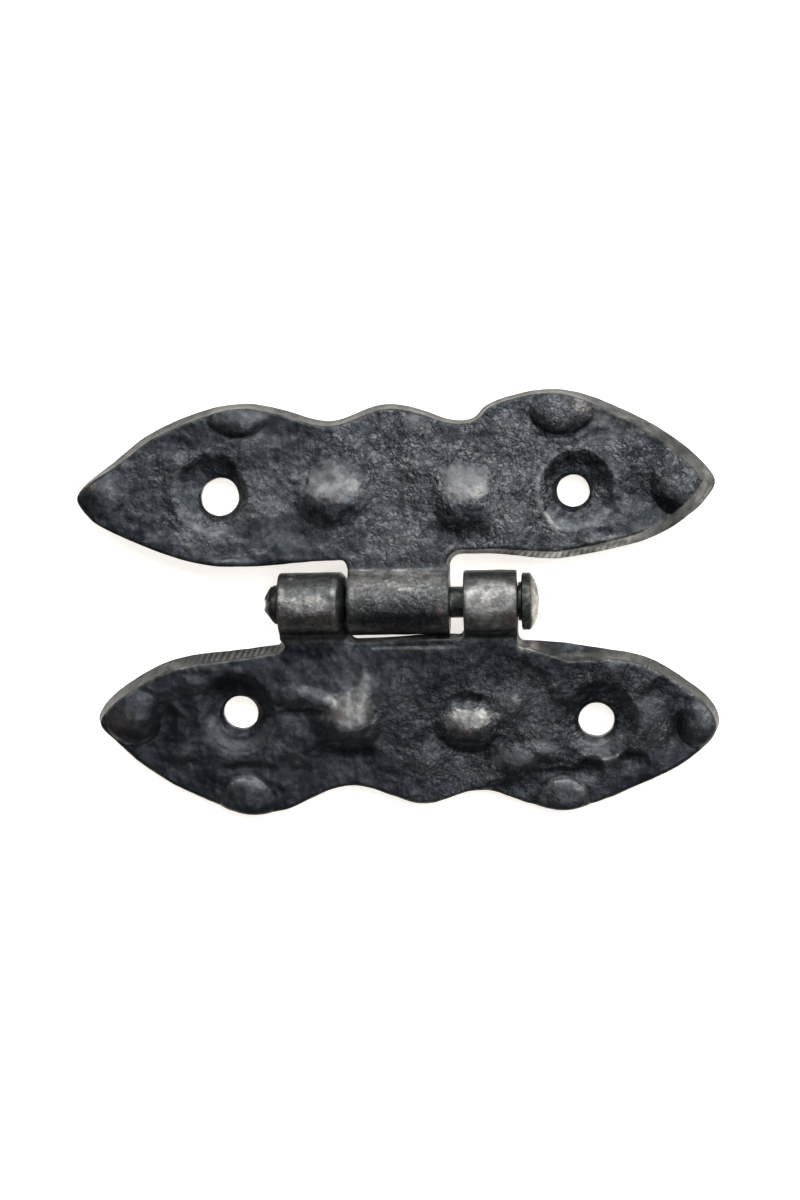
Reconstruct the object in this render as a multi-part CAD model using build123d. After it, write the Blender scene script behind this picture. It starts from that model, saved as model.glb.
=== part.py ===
"""Hammered iron butterfly hinge, lying face up on a table, in millimetres.

Two leaves are cut from sheet, struck with raised studs and hammer marks, and drilled for
countersunk wood screws. The upper leaf's one strap and the lower leaf's two straps are
rolled backwards into knuckles, and a round-headed rivet runs through all three. Its plain
end is peened over the outermost knuckle. The knuckles stand proud of both faces of the
sheet, so on a table the leaves slope down from the pin to their outer edges.

X runs along the pin, Y across the leaves and Z up. The origin is on the table, under the pin.
Each leaf is drawn in a frame of its own: x along the pin, y outwards from the pin's axis and
z out of the leaf's face. The lower leaf's frame is turned half a turn about Z.
"""
from math import acos, asin, atan2, cos, degrees, hypot, radians, sin, sqrt, tan
import os

from build123d import *

# Sheet and leaves
leaf_length = 80.0           # along the pin, from tip to tip
leaf_depth = 22.0            # from the bend line, where the sheet becomes flat, to the outer edge
sheet = 2.0
edge_draft = 14.0            # degrees that the cut edge leans in towards the face
root_radius = 0.5            # in the corner between a strap and the leaf

# Pin and rolled knuckles
pin_diameter = 3.9
pin_clearance = 0.08         # between the pin and a knuckle's bore, all round
neck_radius = 1.4            # of the hollow on the face between leaf and knuckle
leaf_offset = 0.7            # from the pin's axis forward to the middle of the sheet
seam_gap = 0.4               # between the end of a roll and the back of its own strap
strap_overlap = 2.5          # length of strap that runs on into the leaf
knuckle_chamfer = 0.3        # on the ends of each knuckle

# Places of the knuckles along the pin, from end to end
left_knuckle = (-14.6, -6.6)
middle_knuckle = (-5.9, 6.9)
right_knuckle = (8.5, 15.3)

# Rivet ends
head_gap = 0.45              # end play under the rivet's head
head_diameter = 7.2
head_rim = 0.9               # height of the head's straight side
head_height = 2.2
head_flat_diameter = 3.0     # of the worn flat on top of the head
head_bulge = 0.35            # of the dome over a straight line from rim to flat
tail_diameter = 5.1          # of the peened end
tail_length = 1.8
tail_tip_diameter = 3.0
stake_width = 1.3            # of the chisel cut across the peened end
stake_depth = 0.7

# Screw holes
screw_hole_diameter = 4.5
screw_head_diameter = 6.8
screw_head_angle = 90.0

# Raised studs and hammer marks
stud_diameter = 6.0
stud_height = 1.2
dish_diameter = 10.0         # of the hollow hammered round each screw hole
dish_depth = 0.35
dent_diameter = 6.4          # of a single hammer mark
dent_depth = 0.22

# Outlines, as shares of half the leaf's length and of its depth, from the middle of the bend line
upper_outline = [
    (-1.007, 0.409), (-0.922, 0.591), (-0.800, 0.764), (-0.670, 0.882), (-0.465, 0.959),
    (-0.290, 0.886), (-0.195, 0.850), (-0.100, 0.905), (-0.020, 0.941), (0.087, 0.905),
    (0.215, 0.841), (0.330, 0.941), (0.510, 1.009), (0.647, 0.941), (0.893, 0.691), (0.980, 0.536),
    (1.000, 0.459), (0.985, 0.395), (0.922, 0.277), (0.797, 0.145), (0.640, 0.073), (0.497, 0.036),
    (0.338, 0.064), (0.010, 0.050), (-0.235, 0.041), (-0.428, 0.018), (-0.615, 0.036),
    (-0.740, 0.105), (-0.870, 0.205), (-0.972, 0.323),
]
lower_outline = [
    (0.960, 0.459), (0.922, 0.568), (0.800, 0.764), (0.610, 0.959), (0.465, 1.036), (0.355, 1.009),
    (0.253, 0.923), (0.160, 0.873), (0.033, 0.932), (-0.090, 0.982), (-0.242, 0.909),
    (-0.348, 0.950), (-0.510, 1.023), (-0.662, 0.959), (-0.853, 0.795), (-0.978, 0.632),
    (-1.007, 0.518), (-0.990, 0.418), (-0.900, 0.264), (-0.778, 0.132), (-0.653, 0.082),
    (-0.497, 0.036), (-0.325, 0.032), (0.000, 0.032), (0.325, 0.032), (0.528, 0.064),
    (0.720, 0.118), (0.853, 0.245), (0.940, 0.382),
]

# Places on each leaf, as the same shares
upper_holes = [(-0.547, 0.418), (0.560, 0.418)]
lower_holes = [(-0.622, 0.495), (0.500, 0.427)]
upper_studs = [
    (-0.918, 0.427), (-0.487, 0.886), (-0.182, 0.427), (0.225, 0.441), (0.530, 0.918), (0.880, 0.455),
]
lower_studs = [
    (-0.940, 0.500), (-0.517, 0.932), (-0.217, 0.468), (0.160, 0.464), (0.487, 0.932), (0.845, 0.441),
]
upper_dents = [
    (-0.730, 0.600), (-0.350, 0.600), (-0.013, 0.660), (0.370, 0.670), (0.745, 0.390), (0.370, 0.240),
]
lower_dents = [
    (-0.760, 0.640), (-0.415, 0.655), (-0.035, 0.709), (0.330, 0.645), (0.670, 0.500), (0.320, 0.260),
]

# Sizes that follow
bore_radius = pin_diameter / 2 + pin_clearance
knuckle_radius = bore_radius + sheet
face_height = leaf_offset + sheet / 2
back_height = leaf_offset - sheet / 2
neck_mid_radius = neck_radius + sheet / 2
neck_back_radius = neck_radius + sheet
neck_reach = bore_radius + sheet / 2 + neck_mid_radius
neck_height = leaf_offset + neck_mid_radius
bend_line = sqrt(neck_reach**2 - neck_height**2)
rim_pieces = 16              # faces that the cut edge of a leaf is made of
straight_down = 270          # degrees, from a neck's centre to the flat sheet
cut_over = 1.0               # that cutting shapes run past what they cut
tiny = 0.001


def place(spot):
    """A spot given in shares, as (x, y) in a leaf's own frame."""
    along, out = spot
    return along * leaf_length / 2, bend_line + out * leaf_depth


def cap_radius(diameter, height):
    """Radius of the ball whose cap has this base diameter and height."""
    return (diameter**2 / 4 + height**2) / (2 * height)


def knuckle_section():
    """The strap seen along the pin: flat sheet, hollow neck, and the roll round the bore."""
    neck_angle = degrees(atan2(neck_height, bend_line))
    reach_to_end = neck_back_radius + seam_gap
    end_cosine = (neck_reach**2 + knuckle_radius**2 - reach_to_end**2) / (2 * neck_reach * knuckle_radius)
    end_angle = neck_angle - degrees(acos(end_cosine))
    end_direction = Vector(cos(radians(end_angle)), sin(radians(end_angle)))
    roll = 360 + end_angle - neck_angle
    neck = 90 - neck_angle
    neck_centre = (bend_line, neck_height)
    strap_end = bend_line + strap_overlap
    return make_face([
        Line((strap_end, face_height), (bend_line, face_height)),
        CenterArc(neck_centre, neck_radius, straight_down, -neck),
        CenterArc((0, 0), knuckle_radius, neck_angle, roll),
        Line(end_direction * knuckle_radius, end_direction * bore_radius),
        CenterArc((0, 0), bore_radius, end_angle, -roll),
        CenterArc(neck_centre, neck_back_radius, straight_down - neck, neck),
        Line((bend_line, back_height), (strap_end, back_height)),
        Line((strap_end, back_height), (strap_end, face_height)),
    ])


def knuckle(span):
    """One strap with its rolled knuckle, over a span of the pin."""
    start, end = span
    strap = extrude(Plane.YZ.offset(start) * knuckle_section(), end - start)
    rims = [
        edge for edge in strap.edges().filter_by(GeomType.CIRCLE)
        if abs(edge.radius - knuckle_radius) < tiny and abs(edge.arc_center.Y) < tiny
    ]
    return chamfer(rims, knuckle_chamfer)


def rim(points, height):
    """A smooth closed line through the points at a height, cut into equal pieces."""
    whole = (Plane.XY.offset(height) * Spline(*points, periodic=True)).edge()
    return [whole.trim(piece / rim_pieces, (piece + 1) / rim_pieces) for piece in range(rim_pieces)]


def leaf_blank(outline):
    """The leaf's outline cut through sheet and studs, with its edge leaning in towards the face."""
    height = sheet + stud_height + cut_over
    lean = height * tan(radians(edge_draft))
    low = [place(spot) for spot in outline]
    xs, ys = zip(*low)
    middle_x, middle_y = (min(xs) + max(xs)) / 2, (min(ys) + max(ys)) / 2
    shrink_x = 1 - 2 * lean / (max(xs) - min(xs))
    shrink_y = 1 - 2 * lean / (max(ys) - min(ys))
    high = [(middle_x + shrink_x * (x - middle_x), middle_y + shrink_y * (y - middle_y)) for x, y in low]
    foot = rim(low, back_height)
    top = rim(high, back_height + height)
    walls = [Face.make_surface_from_curves(*pair) for pair in zip(foot, top)]
    return Solid(Shell([make_face(foot).face(), *walls, make_face(top).face()]))


def struck_sheet(blank, studs, holes, dents):
    """Sheet a little larger than the blank, with its face hammered and its studs raised."""
    box = blank.bounding_box()
    struck = Box(box.size.X + cut_over, box.size.Y + cut_over, sheet)
    struck = Pos(box.center().X, box.center().Y, leaf_offset) * struck
    for spots, diameter, depth in ((holes, dish_diameter, dish_depth), (dents, dent_diameter, dent_depth)):
        radius = cap_radius(diameter, depth)
        for spot in spots:
            struck -= Pos(*place(spot), face_height - depth + radius) * Rot(Y=-90) * Sphere(radius)
    radius = cap_radius(stud_diameter, stud_height)
    for spot in studs:
        struck += Pos(*place(spot), face_height + stud_height - radius) * Rot(Y=90) * Sphere(radius)
    return struck


def screw_hole():
    """What a countersunk screw takes out of the sheet, with its axis on Z and the back at 0."""
    hole_radius = screw_hole_diameter / 2
    head_radius = screw_head_diameter / 2
    sink = (head_radius - hole_radius) / tan(radians(screw_head_angle / 2))
    face = sheet - dish_depth
    profile = make_face(Polyline(
        (0, -cut_over), (hole_radius, -cut_over), (hole_radius, face - sink), (head_radius, face),
        (head_radius, sheet + cut_over), (0, sheet + cut_over), close=True,
    ))
    return revolve(Plane.XZ * profile, Axis.Z)


def leaf(outline, studs, holes, dents, knuckles):
    """A whole leaf in its own frame."""
    blank = leaf_blank(outline)
    body = blank & struck_sheet(blank, studs, holes, dents)
    for span in knuckles:
        body += knuckle(span)
    strap_sides = [side for span in knuckles for side in span]
    corners = [
        edge for edge in body.edges()
        if edge.center().Y > bend_line and abs(edge.tangent_at(0.5).Z) > 0.5
        and any(abs(edge.center().X - side) < tiny for side in strap_sides)
    ]
    body = fillet(corners, root_radius)
    for spot in holes:
        body -= Pos(*place(spot), back_height) * screw_hole()
    return body


def rest_angle(body):
    """Slope in degrees at which a leaf's back edge lies on the table beside its own knuckle."""
    reach = body.bounding_box().max.Y
    return degrees(asin(knuckle_radius / hypot(reach, back_height)) + atan2(back_height, reach))


def rivet():
    """The pin, turned about X: domed head on the right, peened and staked tail on the left."""
    shank = pin_diameter / 2
    head_face = right_knuckle[1] + head_gap
    head_edge = head_face + head_rim
    head_top = head_face + head_height
    tail_face = left_knuckle[0]
    tail_end = tail_face - tail_length
    tail_tip = (tail_end, tail_tip_diameter / 2)
    tail_rim = (tail_face, tail_diameter / 2)
    head_rim_point = (head_edge, head_diameter / 2)
    head_flat = (head_top, head_flat_diameter / 2)
    profile = make_face([
        Line((tail_end, 0), tail_tip),
        Line(tail_tip, tail_rim),
        Line(tail_rim, (tail_face, shank)),
        Line((tail_face, shank), (head_face, shank)),
        Line((head_face, shank), (head_face, head_diameter / 2)),
        Line((head_face, head_diameter / 2), head_rim_point),
        SagittaArc(head_rim_point, head_flat, head_bulge),
        Line(head_flat, (head_top, 0)),
        Line((head_top, 0), (tail_end, 0)),
    ])
    stake = make_face(Polyline(
        (tail_end, -stake_width / 2), (tail_end, stake_width / 2), (tail_end + stake_depth, 0), close=True,
    ))
    return revolve(profile, Axis.X) - extrude(stake, tail_diameter, both=True)


upper = leaf(upper_outline, upper_studs, upper_holes, upper_dents, [middle_knuckle])
lower_knuckles = [(-end, -start) for start, end in (left_knuckle, right_knuckle)]
lower = leaf(lower_outline, lower_studs, lower_holes, lower_dents, lower_knuckles)
on_axis = Pos(0, 0, knuckle_radius)
parts = {
    "upper_leaf": on_axis * Rot(X=-rest_angle(upper)) * upper,
    "lower_leaf": on_axis * Rot(X=rest_angle(lower)) * Rot(Z=180) * lower,
    "rivet_pin": on_axis * rivet(),
}
os.makedirs("parts", exist_ok=True)
for name, solid in parts.items():
    export_step(solid, f"parts/{name}.step")
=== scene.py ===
"""Blackened, hammered butterfly hinge lying face up on a white table.

Each leaf is one closed mesh, made flat and then bent: x runs along the pin, v across the flat
sheet outwards from the pin, and h through the sheet, from -1 at its back to 1 at its face.
Places on the leaves are pixels of a picture of 800 by 1200, which the camera's own rays carry
on to the iron. All other lengths are in millimetres until a mesh is written, in metres.
"""
from math import acos, asin, atan2, cos, hypot, pi, radians, sin, sqrt, tan

import bpy
import numpy as np
from mathutils import Matrix, Vector
from mathutils.geometry import delaunay_2d_cdt
from mathutils.kdtree import KDTree


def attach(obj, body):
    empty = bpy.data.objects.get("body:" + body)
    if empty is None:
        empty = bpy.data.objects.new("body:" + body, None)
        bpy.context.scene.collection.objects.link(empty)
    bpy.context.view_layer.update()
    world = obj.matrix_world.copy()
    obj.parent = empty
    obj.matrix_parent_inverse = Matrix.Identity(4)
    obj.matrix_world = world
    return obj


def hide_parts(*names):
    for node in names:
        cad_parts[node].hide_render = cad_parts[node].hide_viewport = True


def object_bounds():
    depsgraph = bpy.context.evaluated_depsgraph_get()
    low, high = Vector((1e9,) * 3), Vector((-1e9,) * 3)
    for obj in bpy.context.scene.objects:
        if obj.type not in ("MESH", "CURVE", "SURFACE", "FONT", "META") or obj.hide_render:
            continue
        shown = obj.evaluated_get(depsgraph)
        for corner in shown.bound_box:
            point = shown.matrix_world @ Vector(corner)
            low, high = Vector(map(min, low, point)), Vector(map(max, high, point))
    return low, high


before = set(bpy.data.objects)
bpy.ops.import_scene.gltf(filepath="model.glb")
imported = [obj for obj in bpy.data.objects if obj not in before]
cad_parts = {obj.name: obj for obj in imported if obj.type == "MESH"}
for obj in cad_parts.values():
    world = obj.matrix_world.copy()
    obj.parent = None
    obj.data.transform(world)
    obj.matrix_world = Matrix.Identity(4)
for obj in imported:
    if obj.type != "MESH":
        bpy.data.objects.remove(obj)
cad_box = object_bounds()

# Camera
picture = (800, 1200)
pixel = 0.125                # at the pin
distance = 280.0
look_at = (0.0, 0.0, 4.0)
look_at_pixel = (395.3, 603.0)
lean_right, lean_up = 4.0, 5.0
roll_angle = 1.2
sensor = 36.0

# Hinge, as in the CAD model
leaf_length, leaf_depth = 80.0, 22.0
sheet = 2.0
half_sheet = sheet / 2
bore_radius = 2.03
knuckle_radius = bore_radius + sheet
roll_radius = bore_radius + half_sheet
leaf_offset = 0.7
neck_mid_radius = 2.4
seam_gap = 0.4
left_knuckle = (-14.6, -6.6)
middle_knuckle = (-5.9, 6.9)
right_knuckle = (8.5, 15.3)
left_overrun = 0.53          # by which the left knuckle is longer than there, at its right end

# Pin's profile, from its peened tail to its round head: x, radius
shank_radius = 1.95
shank_start, shank_end = -14.6, 15.34
pin_profile = [
    (-16.35, 0.0), (-16.35, 1.2), (-16.2, 1.7), (-15.6, 2.3), (-15.05, 2.5), (-14.72, 2.5),
    (-14.64, 2.3), (shank_start, shank_radius), (shank_end, shank_radius), (15.36, 2.4), (15.72, 2.45),
    (15.76, 2.7), (15.78, 3.3), (15.9, 3.58), (16.1, 3.6), (16.75, 3.58), (16.95, 3.45), (17.3, 2.95),
    (17.65, 2.2), (17.85, 1.4), (17.93, 0.7), (17.94, 0.0),
]
pin_turns = 96
pin_step = 0.16
dome_dents, dome_grain, tail_dents = 0.12, 0.05, 0.05

# Flats that the hammer left across the pin's tail
tail_cut_y = [-2.9, -1.4, -0.5, 0.2, 0.8, 2.2]
tail_cut_x = [-14.8, -15.65, -16.4, -16.1, -16.4, -15.65]
stake_y, stake_half = 0.2, 0.7     # middle of the bright stake mark, and half its width

# Sizes that follow
face_height = leaf_offset + half_sheet
back_height = leaf_offset - half_sheet
throat_height = leaf_offset - 0.6 * half_sheet     # where a screw hole is narrowest to the eye
neck_reach = roll_radius + neck_mid_radius
neck_height = leaf_offset + neck_mid_radius
bend_line = sqrt(neck_reach**2 - neck_height**2)
neck_angle = atan2(neck_height, bend_line)
neck_length = (pi / 2 - neck_angle) * neck_mid_radius
end_reach = neck_mid_radius + half_sheet + seam_gap
end_turn = acos((neck_reach**2 + knuckle_radius**2 - end_reach**2) / (2 * neck_reach * knuckle_radius))
strap_end = bend_line - neck_length - (2 * pi - end_turn) * roll_radius

# Straps, along each leaf's own x: left end, right end, radii of the left and right roots
upper_straps = [(*middle_knuckle, 1.0, 1.5)]
lower_straps = [
    (-right_knuckle[1], -right_knuckle[0], 0.9, 0.6),
    (-left_knuckle[1] - left_overrun, -left_knuckle[0], 1.3, 0.5),
]

# Outlines, as in the CAD model with a few more points: shares of half the leaf's length and its depth
upper_outline = [
    (-1.007, 0.409), (-0.922, 0.591), (-0.800, 0.764), (-0.670, 0.882), (-0.465, 0.959),
    (-0.290, 0.886), (-0.195, 0.850), (-0.100, 0.905), (-0.020, 0.941), (0.087, 0.905),
    (0.140, 0.868), (0.175, 0.848), (0.232, 0.843), (0.256, 0.860), (0.280, 0.906), (0.312, 0.940),
    (0.374, 0.976), (0.440, 1.000), (0.510, 1.007), (0.647, 0.941), (0.893, 0.691), (0.980, 0.536),
    (1.000, 0.459), (0.985, 0.395), (0.922, 0.277), (0.797, 0.145), (0.640, 0.073), (0.497, 0.036),
    (0.338, 0.064), (0.010, 0.050), (-0.235, 0.041), (-0.428, 0.018), (-0.615, 0.036),
    (-0.740, 0.105), (-0.870, 0.205), (-0.972, 0.323),
]
lower_outline = [
    (0.960, 0.459), (0.922, 0.568), (0.800, 0.764), (0.610, 0.959), (0.465, 1.036), (0.355, 1.009),
    (0.253, 0.923), (0.160, 0.873), (0.033, 0.932), (-0.090, 0.982), (-0.242, 0.909),
    (-0.348, 0.950), (-0.510, 1.023), (-0.662, 0.959), (-0.853, 0.795), (-0.978, 0.632),
    (-1.007, 0.518), (-0.990, 0.418), (-0.900, 0.264), (-0.778, 0.132), (-0.653, 0.082),
    (-0.497, 0.036), (-0.325, 0.016), (-0.190, -0.011), (0.000, -0.003), (0.150, 0.004), (0.325, 0.024),
    (0.528, 0.064), (0.720, 0.118), (0.853, 0.245), (0.940, 0.382),
]

# Mesh density
edge_step = 0.15             # along the outlines
fine_step = edge_step / 3    # along the lines that distances are taken from
face_step = 0.165            # between points of a face
back_step = 0.5
clear_share = 0.6            # of a step, kept free beside an edge
wall_rows, hole_rows = 8, 3
hole_steps = 88
rim_steps = (0.07, 0.16, 0.28)
curve_steps, arc_points = 40, 10
sharp_angle = 42
wave_grid = 256

# Marks of the shears on the cut edges
stripe_step, stripe_depth, stripe_slant, stripe_drift = 0.8, 0.06, 0.5, 1.5

# Unevenness, as sets of waves: size in mm, height in mm
feature_warp = [(2.6, 0.22), (0.9, 0.05)]
face_waves = [(8.0, 0.22), (4.0, 0.15)]
fine_waves = [(2.0, 0.09), (0.9, 0.045)]
roll_waves = [(2.5, 0.04), (0.8, 0.012)]
outline_waves = [(3.0, 0.05), (1.2, 0.02)]
ragged_waves = [(1.1, 1.0), (0.5, 0.6)]      # of the patches' edges
outline_inset = 0.05         # these two keep the waves inside the CAD model
roll_inset = 0.06
pale_calm_share = 0.85            # of the fine waves, gone under the pale patches
hole_wobble = 0.025          # as a share of a hole's radius
patch_reach, patch_ragged = 1.15, 0.35

# Rounding of the face's edge: width on a leaf and on a roll, depth as a share of it, and the share of
# the width that is lost where the edge is crisp
leaf_round, roll_round, round_share, crisp_loss = 0.45, 0.3, 0.45, 0.75

# Seats of the screw holes: depth of their outer edge, how far they reach past it, and their waves
seat_depth, seat_reach, seat_wave = 0.35, 0.5, (1.2, 0.04)
least_sheet = 0.6            # left under the deepest mark
strap_lean = 0.1             # how far a strap's cut edge leans in
strap_fade = 0.5             # over which a leaf's ways give way to a strap's
crisp_leans = (0.7, 1.2)     # leans of the cut edge at which the face's edge turns crisp

# Colour that follows the shape: pale on high spots and dark in hollows, which is wear and soot and also
# painted light and shade, grain lost on pale spots and left on cut edges, painted shade in the grooves
# of the shears' marks and painted highlight on their ridges, olive on rolls and on the straps' edges
high_pale, hollow_dark, pale_smooth, edge_grit = 0.3, 0.6, 0.8, 0.2
stripe_dark, stripe_highlight, roll_olive, strap_olive = 0.8, 0.2, 0.7, 0.3

# Grain of the iron: scales of its noises and pebbles, for a metre, and heights of its bumps in metres
cloud_scale, mottle_scale, grain_scale, speck_scale = 260.0, 800.0, 1700.0, 3300.0
pebble_scale, wobble_scale, wobble_reach = 1450.0, 1500.0, 0.0004
pit_height, pebble_height, grain_height = 0.00013, 0.00004, 0.00024

# Features: pixel x, pixel y, half width, half heights above and below in pixels, turn in degrees,
# height in mm, edge, tilt. The edge is 2 for a soft slope, 1 for a crease and under 1 for a steep step.
# The tilt makes a feature stronger at its lower end, or at its upper end where it is negative.
upper_features = [
    (102, 495, 28, 28, 26, 0, 0.7, 1.2, 0.4),
    (237, 417, 32, 28, 21, 0, 0.85, 1.0, 0.4),
    (333, 496, 42, 40, 34, 0, 1.1, 1.5, 0.6),
    (464, 495, 34, 36, 44, 0, 0.85, 1.2, 0.35),
    (562, 410, 32, 26, 24, 0, 0.9, 0.8, 0.4),
    (680, 485, 29, 32, 30, 0, 0.95, 0.9, 0.4),
    (209, 493, 38, 41, 42, 0, -1.05, 1.3, -0.8),
    (577, 490, 38, 41, 42, 0, -1.05, 1.2, -0.6),
    (175, 464, 20, 12, 11, 0, 0.2, 1.8, 0.3),
    (172, 446, 24, 14, 12, 0, -0.3, 2.0, 0.0),
    (228, 566, 32, 10, 10, 0, 0.5, 1.3, 0.0),
    (411, 423, 18, 15, 15, 0, 0.35, 1.4, 0.3),
    (334, 438, 4, 9, 9, 0, 0.12, 1.5, 0.0),
    (295, 479, 9, 7, 7, 0, 0.2, 1.3, 0.4),
    (112, 530, 32, 12, 14, -25, -0.25, 2.0, 0.0),
    (590, 537, 18, 12, 11, 0, 0.25, 1.3, 0.3),
    (604, 533, 11, 8, 8, 0, -0.25, 1.3, 0.0),
    (665, 512, 28, 14, 22, -20, -0.5, 1.6, -0.4),
    (538, 502, 10, 36, 36, -12, 0.3, 1.8, 0.0),
    (640, 492, 26, 26, 26, 0, -0.35, 2.0, 0.0),
    (650, 535, 44, 14, 14, -25, 0.3, 2.0, 0.0),
    (455, 534, 36, 16, 24, 0, -0.3, 1.8, -0.3),
    (500, 520, 28, 28, 28, 0, 0.3, 2.0, 0.0),
    (280, 430, 28, 18, 18, 0, -0.3, 2.0, 0.0),
    (505, 430, 32, 20, 20, 0, 0.3, 2.0, 0.0),
    (640, 440, 26, 18, 18, 30, 0.3, 2.0, 0.0),
    (395, 500, 32, 44, 44, 0, -0.3, 2.0, 0.0),
    (290, 530, 34, 20, 24, 20, -0.35, 2.0, 0.0),
    (150, 495, 34, 30, 30, 0, -0.25, 2.0, 0.0),
    (420, 470, 22, 18, 18, 0, 0.25, 2.0, 0.0),
]
lower_features = [
    (133, 718, 28, 31, 29, 0, 1.0, 0.8, 0.2),
    (247, 802, 28, 27, 24, 0, 0.9, 0.7, 0.0),
    (468, 725, 34, 24, 28, 0, 1.2, 1.2, 0.3),
    (564, 802, 27, 25, 22, 0, 0.9, 0.7, 0.0),
    (700, 726, 24, 26, 23, 0, 0.9, 1.0, 0.2),
    (347, 720, 38, 38, 34, 0, 1.0, 1.4, 0.5),
    (363, 700, 15, 42, 34, -5, 0.35, 2.0, 0.0),
    (290, 694, 20, 11, 14, 24, 0.5, 1.4, 0.3),
    (316, 698, 24, 11, 13, -24, 0.5, 1.4, 0.3),
    (304, 713, 30, 9, 26, 5, -0.35, 1.8, -0.4),
    (346, 754, 42, 16, 26, 0, -0.35, 1.8, -0.3),
    (470, 700, 21, 9, 11, 0, -0.5, 1.3, 0.0),
    (466, 753, 34, 14, 26, 0, -0.35, 1.8, -0.3),
    (237, 714, 39, 44, 45, 0, -1.05, 1.2, -0.4),
    (602, 722, 37, 42, 40, 0, -1.05, 1.0, -0.3),
    (189, 685, 20, 13, 13, 0, 0.3, 2.0, 0.0),
    (178, 753, 26, 13, 13, 10, 0.3, 2.0, 0.0),
    (610, 667, 24, 14, 15, 0, 0.4, 1.8, 0.0),
    (588, 770, 18, 14, 16, 15, -0.6, 1.2, -0.5),
    (634, 761, 17, 14, 16, -20, -0.6, 1.2, -0.5),
    (677, 732, 11, 26, 26, -15, -0.5, 1.6, 0.0),
    (648, 716, 20, 30, 30, 0, 0.3, 2.0, 0.0),
    (520, 758, 30, 16, 18, 25, 0.6, 1.5, 0.2),
    (548, 752, 18, 10, 12, -20, 0.35, 1.5, 0.2),
    (500, 790, 28, 12, 14, 20, -0.4, 1.6, -0.3),
    (430, 760, 30, 26, 26, 0, 0.3, 2.0, 0.0),
    (660, 690, 28, 14, 16, 35, -0.35, 1.6, -0.3),
    (247, 769, 34, 8, 12, 0, -0.35, 1.6, 0.0),
    (564, 773, 32, 7, 10, 0, -0.3, 1.6, 0.0),
    (165, 722, 14, 34, 34, 0, -0.35, 1.8, 0.0),
    (510, 705, 26, 30, 30, 0, 0.4, 2.0, 0.0),
    (300, 770, 38, 20, 22, 0, -0.3, 2.0, 0.0),
    (540, 690, 20, 26, 26, 0, -0.3, 2.0, 0.0),
    (346, 606, 11, 70, 70, 0, -0.9, 1.0, 0.0),
    (291, 577, 6, 5, 5, 0, 0.2, 1.5, 0.0),
]

# Screw holes: pixel x, pixel y, radius, radius of the countersink
upper_holes = [(220.5, 497, 2.42, 3.2), (573.3, 490.7, 2.03, 2.9)]
lower_holes = [(241.4, 712, 2.2, 3.1), (596.5, 718.9, 2.25, 3.0)]

# How far the cut edge leans in, by place along the rim: pixel x, pixel y, mm
upper_lean = [
    (95, 520, -0.05), (80, 500, 0.3), (105, 470, 0.9), (130, 450, 1.15), (200, 410, 1.15),
    (260, 405, 1.0), (330, 420, 0.95), (400, 403, 0.85), (470, 418, 0.65), (540, 388, 0.8),
    (620, 405, 1.3), (690, 450, 1.8), (713, 480, 1.8), (690, 515, 1.3), (620, 550, 0.8),
    (540, 558, 0.7), (480, 553, 0.4), (300, 560, -0.1), (220, 567, -0.1), (140, 540, -0.05),
]
lower_lean = [
    (102, 715, 0.6), (130, 680, 0.85), (200, 655, 0.9), (270, 643, 0.7), (350, 645, 0.35),
    (450, 645, 0.35), (530, 645, 0.5), (545, 641, 1.2), (572, 641, 2.0), (598, 643, 1.3),
    (612, 646, 0.7), (660, 660, 0.75), (700, 690, 0.7), (718, 725, 0.5), (680, 770, 0.3),
    (560, 808, 0.3), (430, 800, 0.3), (250, 812, 0.3), (150, 760, 0.3),
]


def bow(px, py, wide, tall, start, end, thick, strength):
    """Patches in a row along part of an oval, between two angles in degrees, from the right upwards."""
    count = int(radians(end - start) * max(wide, tall) / thick) + 2
    turns = [radians(start + (end - start) * i / (count - 1)) for i in range(count)]
    return [(px + wide * cos(t), py - tall * sin(t), thick, thick, strength) for t in turns]
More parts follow.
